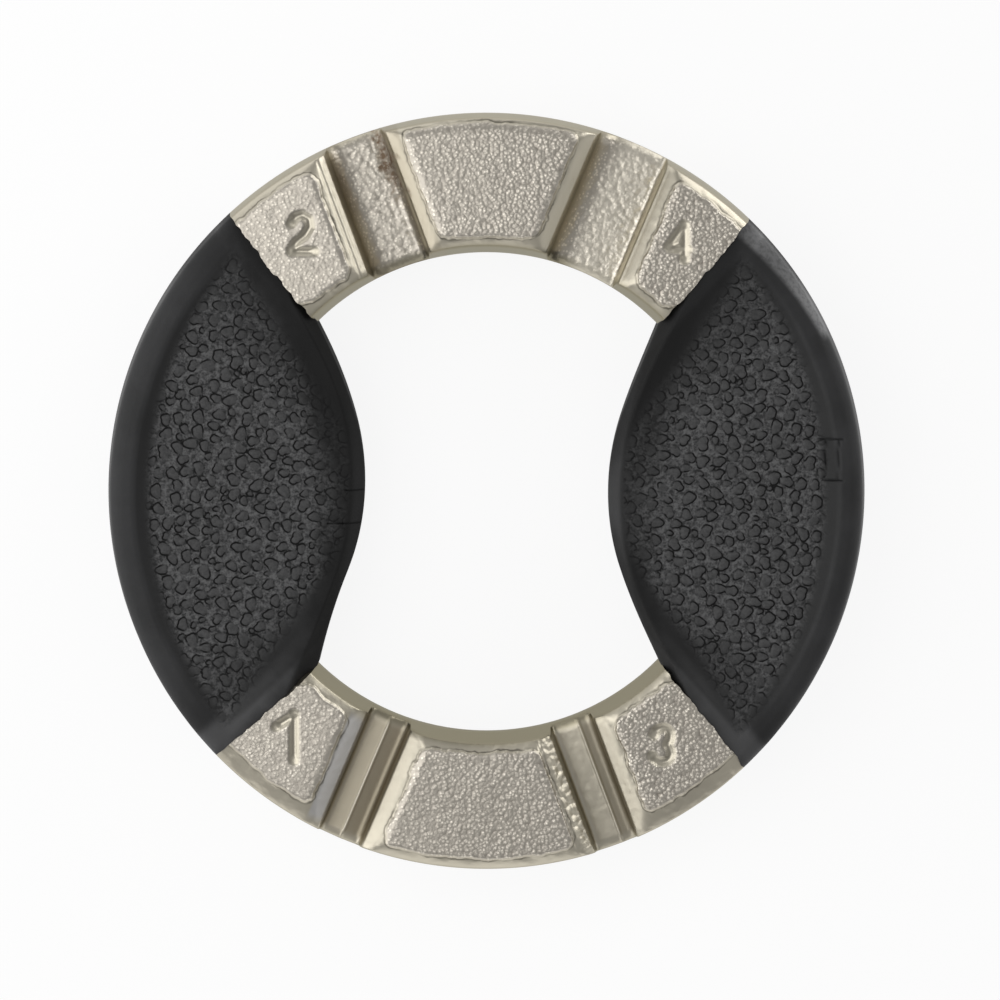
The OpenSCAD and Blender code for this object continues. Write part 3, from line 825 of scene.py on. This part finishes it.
nickel = dict(
    plate=(0.53, 0.49, 0.40, 1), plateDark=(0.47, 0.435, 0.355, 1), plateRange=(0.35, 0.68),
    castDark=(0.46, 0.425, 0.37, 1), castBright=(0.74, 0.69, 0.60, 1), castRange=(0.55, 0.85),
    # The next line's dark wall tint is painted shade on the wall of the hole, and fainter on the outer wall
    wall=(0.25, 0.226, 0.160, 1), innerShadeShare=0.9, outerShadeShare=0.3,
    # The machined tone below is the floors' own; laid on beside slot walls and bevels it is painted shade
    machined=(0.30, 0.262, 0.195, 1), machinedShare=0.95, slotShadeShare=0.8,
    # The next line's pale tint is painted light on cast floors and crests; its grey tint is a painted cool
    # reflection on one bevel
    paintedLight=(0.80, 0.75, 0.64, 1), paintedLightShare=0.8, coolReflection=(0.53, 0.525, 0.53, 1), coolReflectionShare=0.75,
    # The next line's dark tint is painted shade in the hollows between sand grains
    pitShade=(0.31, 0.28, 0.24, 1), pitShadeShare=0.45, pitRange=(0.1, 0.8), pitRelief=-0.5, pitLevel=0.42,
    pitGrains=2.0, pitSpeck=0.7,
    # The next line's dark tint is painted shade at the foot of the pads and on the digits' shaded side
    creaseShade=(0.13, 0.118, 0.095, 1), creaseOuter=(-0.16, -0.05), creaseInner=(-0.03, 0.05),
    creaseRange=(0.35, 0.6), creaseLow=0.25, creaseGain=0.6, digitShadeShare=0.5,
    rust=(0.25, 0.185, 0.13, 1), rustRange=(0.42, 0.60), rustLow=0.3,
    grazing=(0.70, 0.68, 0.60, 1), metallic=0.95,
    roughness=0.34, roughCast=0.04, roughMachined=0.12, roughCloud=0.10, roughRust=0.35,
    cloudSize=6.0, speckSize=0.30, grainSize=0.27, creaseSize=2.0, fineSize=0.17, lineSize=0.5,
    bump=0.48, bumpDepth=0.06, fineCast=0.3, finePlate=0.15, lineStretch=(1, 12, 1), lineRise=0.3,
)


def nickelFinish(n):  # plate in two tones, with one tint after another laid over it by its share; several tints are painted shade and painted light
    finish, tree, shader, start = newFinish("plated_nickel")
    place = objectPlace(start)
    rough, coarse, pitShade, machined, rust = attributes(start, "rough", "coarse", "pitShade", "machined", "rust")
    coolReflection, slotShade, paintedLight, digitShade, padEdge = attributes(start, "coolReflection", "slotShade", "paintedLight", "digitShade", "padEdge")
    innerWallShade, outerWallShade = attributes(start, "innerWallShade", "outerWallShade")
    cloud = noise(start, place, n["cloudSize"], detail=3)
    speck = noise(start, place, n["speckSize"], detail=4)
    grains = domes(start, place, n["grainSize"])
    # painted shade in the hollows between grains, stronger where the skin is coarse
    hollow = pitShade * n["pitRelief"] + (n["pitLevel"] - grains) * n["pitGrains"]
    hollow = (hollow + (speck - 0.5) * n["pitSpeck"]).clipped(*n["pitRange"]) * coarse
    # painted shade along the foot of each pad's edge, broken up by noise
    creaseShade = padEdge.clipped(*n["creaseOuter"]) * (1 - padEdge.clipped(*n["creaseInner"]))
    broken = noise(start, place, n["creaseSize"], detail=2).clipped(*n["creaseRange"])
    colour = cloud.clipped(*n["plateRange"]).mix(n["plateDark"], n["plate"])
    colour = rough.mix(colour, grains.clipped(*n["castRange"]).mix(n["castDark"], n["castBright"]))
    # Tints in turn: painted shade on the walls, the machined tone, painted light, a painted cool
    # reflection, painted slot shade, painted shade in grain hollows, at pad feet and in the digits, then
    # rust
    for share, tint in (
        (innerWallShade * n["innerShadeShare"] + outerWallShade * n["outerShadeShare"], "wall"),
        (machined * n["machinedShare"], "machined"),
        (paintedLight * n["paintedLightShare"], "paintedLight"),
        (coolReflection * n["coolReflectionShare"], "coolReflection"),
        (slotShade * n["slotShadeShare"], "machined"),
        (hollow * n["pitShadeShare"], "pitShade"),
        (creaseShade * (broken * n["creaseGain"] + n["creaseLow"]), "creaseShade"),
        (digitShade * n["digitShadeShare"], "creaseShade"),
        (rust * blend(n["rustLow"], speck.clipped(*n["rustRange"])), "rust"),
    ):
        colour = share.mix(colour, n[tint])
    gloss = n["roughness"] + rough * n["roughCast"] + machined * n["roughMachined"]
    gloss = gloss + (cloud - 0.5) * n["roughCloud"] + rust * n["roughRust"]
    fine = noise(start, place, n["fineSize"], detail=3) * (rough * n["fineCast"] + n["finePlate"])
    lines = noise(start, place, n["lineSize"], detail=2, stretch=n["lineStretch"])
    height = fine + grains * coarse + lines * machined * n["lineRise"]
    feedShader(tree, shader, start, colour, gloss, height, n)
    shader.inputs["Metallic"].default_value = n["metallic"]
    shader.inputs["Specular Tint"].default_value = n["grazing"]
    return finish


rubber = dict(
    rim=(0.021, 0.021, 0.0215, 1), worn=(0.029, 0.029, 0.030, 1), wornRange=(0.3, 0.7),
    # The next line's first tint is painted light on the lower end slopes; the rest set a painted highlight
    # on one rim's upper end
    flat=(0.053, 0.053, 0.054, 1), rimHighlight=(0.19, 0.19, 0.192, 1), highlightRange=(0.25, 0.6), highlightLow=0.55,
    dishDark=(0.018, 0.018, 0.0185, 1), dishPale=(0.096, 0.096, 0.097, 1), dishRange=(0.36, 0.64),
    crumbShare=0.6, dishTop=(0.046, 0.046, 0.0465, 1), topRange=(-0.02, 0.06), topShare=0.75,
    # The next line's darkest tint is painted shade on the dish's slopes, about the nose and towards the
    # ends
    deep=(0.009, 0.009, 0.009, 1), slopeShadeShare=0.62, rubberShadeShare=0.95,
    # The next line's near-black tint is painted shade in the sunk seam about each pebble and in the moulded
    # lines
    seam=(0.003, 0.003, 0.003, 1), seamOuter=(-0.13, -0.05), seamInner=(0.00, 0.07),
    sharpRange=(0.05, 0.55), sharpLow=0.45, patchRange=(0.25, 0.5), seamLoss=0.6, cutShare=0.6,
    roughness=0.52, roughCloud=0.16, roughFine=0.12, roughSeam=0.3, roughDark=0.42, specular=0.20,
    cloudSize=3.5, patchSize=1.1, fineSize=0.15, crumbSize=0.32,
    bump=0.7, bumpDepth=0.03, fineRise=0.7, seamFall=1.6,
)


def rubberFinish(n):  # worn rubber in two tones, with tints laid over it likewise, several of them painted shade and painted highlight
    finish, tree, shader, start = newFinish("black_rubber")
    place = objectPlace(start)
    island, sharper, dish, slopeShade = attributes(start, "island", "sharper", "dish", "slopeShade")
    rubberShade, lowerEndLight, rimHighlight, cuts = attributes(start, "rubberShade", "lowerEndLight", "rimHighlight", "cuts")
    cloud = noise(start, place, n["cloudSize"], detail=4)
    patchy = noise(start, place, n["patchSize"], detail=2)
    fine = noise(start, place, n["fineSize"], detail=4)
    crumb = noise(start, place, n["crumbSize"], detail=3)
    # painted shade in each pebble's sunk seam, heaviest on its sharper side, and in the moulded lines
    seam = island.clipped(*n["seamOuter"]) * (1 - island.clipped(*n["seamInner"]))
    seam = seam * blend(n["sharpLow"], sharper.clipped(*n["sharpRange"])) * patchy.clipped(*n["patchRange"])
    seam = seam * dish * (1 - rubberShade * n["seamLoss"]) + cuts * n["cutShare"]
    ground = crumb * n["crumbShare"] + fine * (1 - n["crumbShare"])
    ground = ground.clipped(*n["dishRange"]).mix(n["dishDark"], n["dishPale"])
    pebbled = (island.clipped(*n["topRange"]) * n["topShare"]).mix(ground, n["dishTop"])
    colour = cloud.clipped(*n["wornRange"]).mix(n["rim"], n["worn"])
    # Tints in turn: painted light on a lower end, a painted highlight on one rim, the pebbled dish, painted
    # shade on slopes and patches, and painted shade in the seams
    for share, tint in (
        (lowerEndLight, n["flat"]),
        (rimHighlight * blend(n["highlightLow"], crumb.clipped(*n["highlightRange"])), n["rimHighlight"]),
        (dish, pebbled),
        (slopeShade * n["slopeShadeShare"], n["deep"]),
        (rubberShade * n["rubberShadeShare"], n["deep"]),
        (seam.clipped(0, 1), n["seam"]),
    ):
        colour = share.mix(colour, tint)
    gloss = n["roughness"] + (cloud - 0.5) * n["roughCloud"] + (fine - 0.5) * n["roughFine"]
    gloss = gloss + seam * n["roughSeam"] + rubberShade * n["roughDark"]
    height = fine * n["fineRise"] + crumb * dish - seam * n["seamFall"]
    feedShader(tree, shader, start, colour, gloss, height, n)
    shader.inputs["Specular IOR Level"].default_value = n["specular"]
    return finish


ring.data.materials.append(nickelFinish(nickel))
blackRubber = rubberFinish(rubber)
for grip in grips:
    grip.data.materials.append(blackRubber)
print("finishes made")


# Floor and studio light

studio = dict(
    floorZ=-4.52, floorSize=3000.0, floorColour=(0.92, 0.92, 0.92, 1), whiteShare=0.89,
    white=(1, 1, 1, 1), glow=1.0, world=0.42,
)
sideCard = dict(height=15.0, distance=450.0, depth=230.0)
softboxes = {
    "keyBox": dict(azimuth=170.0, height=60.0, distance=160.0, width=130.0, depth=130.0, power=0.100),
    "leftCard": dict(sideCard, azimuth=187.0, width=440.0, power=0.64),
    "upperLeftCard": dict(sideCard, azimuth=118.0, width=420.0, power=0.32),
    "upperRightCard": dict(sideCard, azimuth=40.0, width=340.0, power=0.66),
    "lowCard": dict(sideCard, azimuth=262.0, width=700.0, power=0.44),
    "rightCard": dict(sideCard, azimuth=342.0, width=300.0, power=0.09),
}


def seenBy(start, *rays):  # 1 for rays of these kinds, else 0
    paths = start.node("ShaderNodeLightPath", {}, {}).socket.node.outputs
    shown = Wire(start.tree, paths[rays[0]])
    for ray in rays[1:]:
        shown = shown + Wire(start.tree, paths[ray])
    return shown.clipped(0, 1)


def paleFloor(s):  # plain for the light it throws back, near white where it is seen, with the part's shadow
    size = s["floorSize"] / 2 * mm
    mesh = bpy.data.meshes.new("floor")
    corners = np.array([[-1, -1], [1, -1], [1, 1], [-1, 1]]) * size
    mesh.from_pydata(np.column_stack([corners, np.full(4, s["floorZ"] * mm)]), [], [[0, 1, 2, 3]])
    floor = bpy.data.objects.new("floor", mesh)
    bpy.context.scene.collection.objects.link(floor)
    finish, tree, shader, start = newFinish("pale_floor")
    tree.nodes.remove(shader)
    shown = seenBy(start, "Is Camera Ray", "Is Glossy Ray", "Is Transmission Ray")
    plain = start.node("ShaderNodeBsdfDiffuse", {}, {"Color": s["floorColour"]})
    glow = start.node("ShaderNodeEmission", {}, {"Color": s["white"], "Strength": s["glow"]})
    both = start.node("ShaderNodeMixShader", {}, {0: shown * s["whiteShare"], 1: plain, 2: glow})
    tree.links.new(both.socket, tree.nodes["Material Output"].inputs["Surface"])
    floor.data.materials.append(finish)


def studioWorld(s):  # even light for the part, and white where the camera sees it
    world = bpy.data.worlds.new("studio")
    world.use_nodes = True
    tree = world.node_tree
    shown = seenBy(Wire(tree, None), "Is Camera Ray", "Is Transmission Ray")
    strength = blend(s["world"], shown)
    background = tree.nodes["Background"]
    tree.links.new(strength.socket, background.inputs["Strength"])
    background.inputs["Color"].default_value = s["white"]
    bpy.context.scene.world = world


def softbox(name, b):  # an area lamp that looks at the part
    lamp = bpy.data.lights.new(name, "AREA")
    lamp.shape, lamp.energy = "RECTANGLE", b["power"]
    lamp.size, lamp.size_y = b["width"] * mm, b["depth"] * mm
    a, h = math.radians(b["azimuth"]), math.radians(b["height"])
    out = Vector((math.cos(a) * math.cos(h), math.sin(a) * math.cos(h), math.sin(h)))
    box = bpy.data.objects.new(name, lamp)
    box.location = out * b["distance"] * mm
    box.rotation_euler = (-out).to_track_quat("-Z", "Y").to_euler()
    bpy.context.scene.collection.objects.link(box)


paleFloor(studio)
studioWorld(studio)
for boxName, box in softboxes.items():
    softbox(boxName, box)
bpy.context.scene.view_settings.view_transform = "Standard"
print("studio lit")
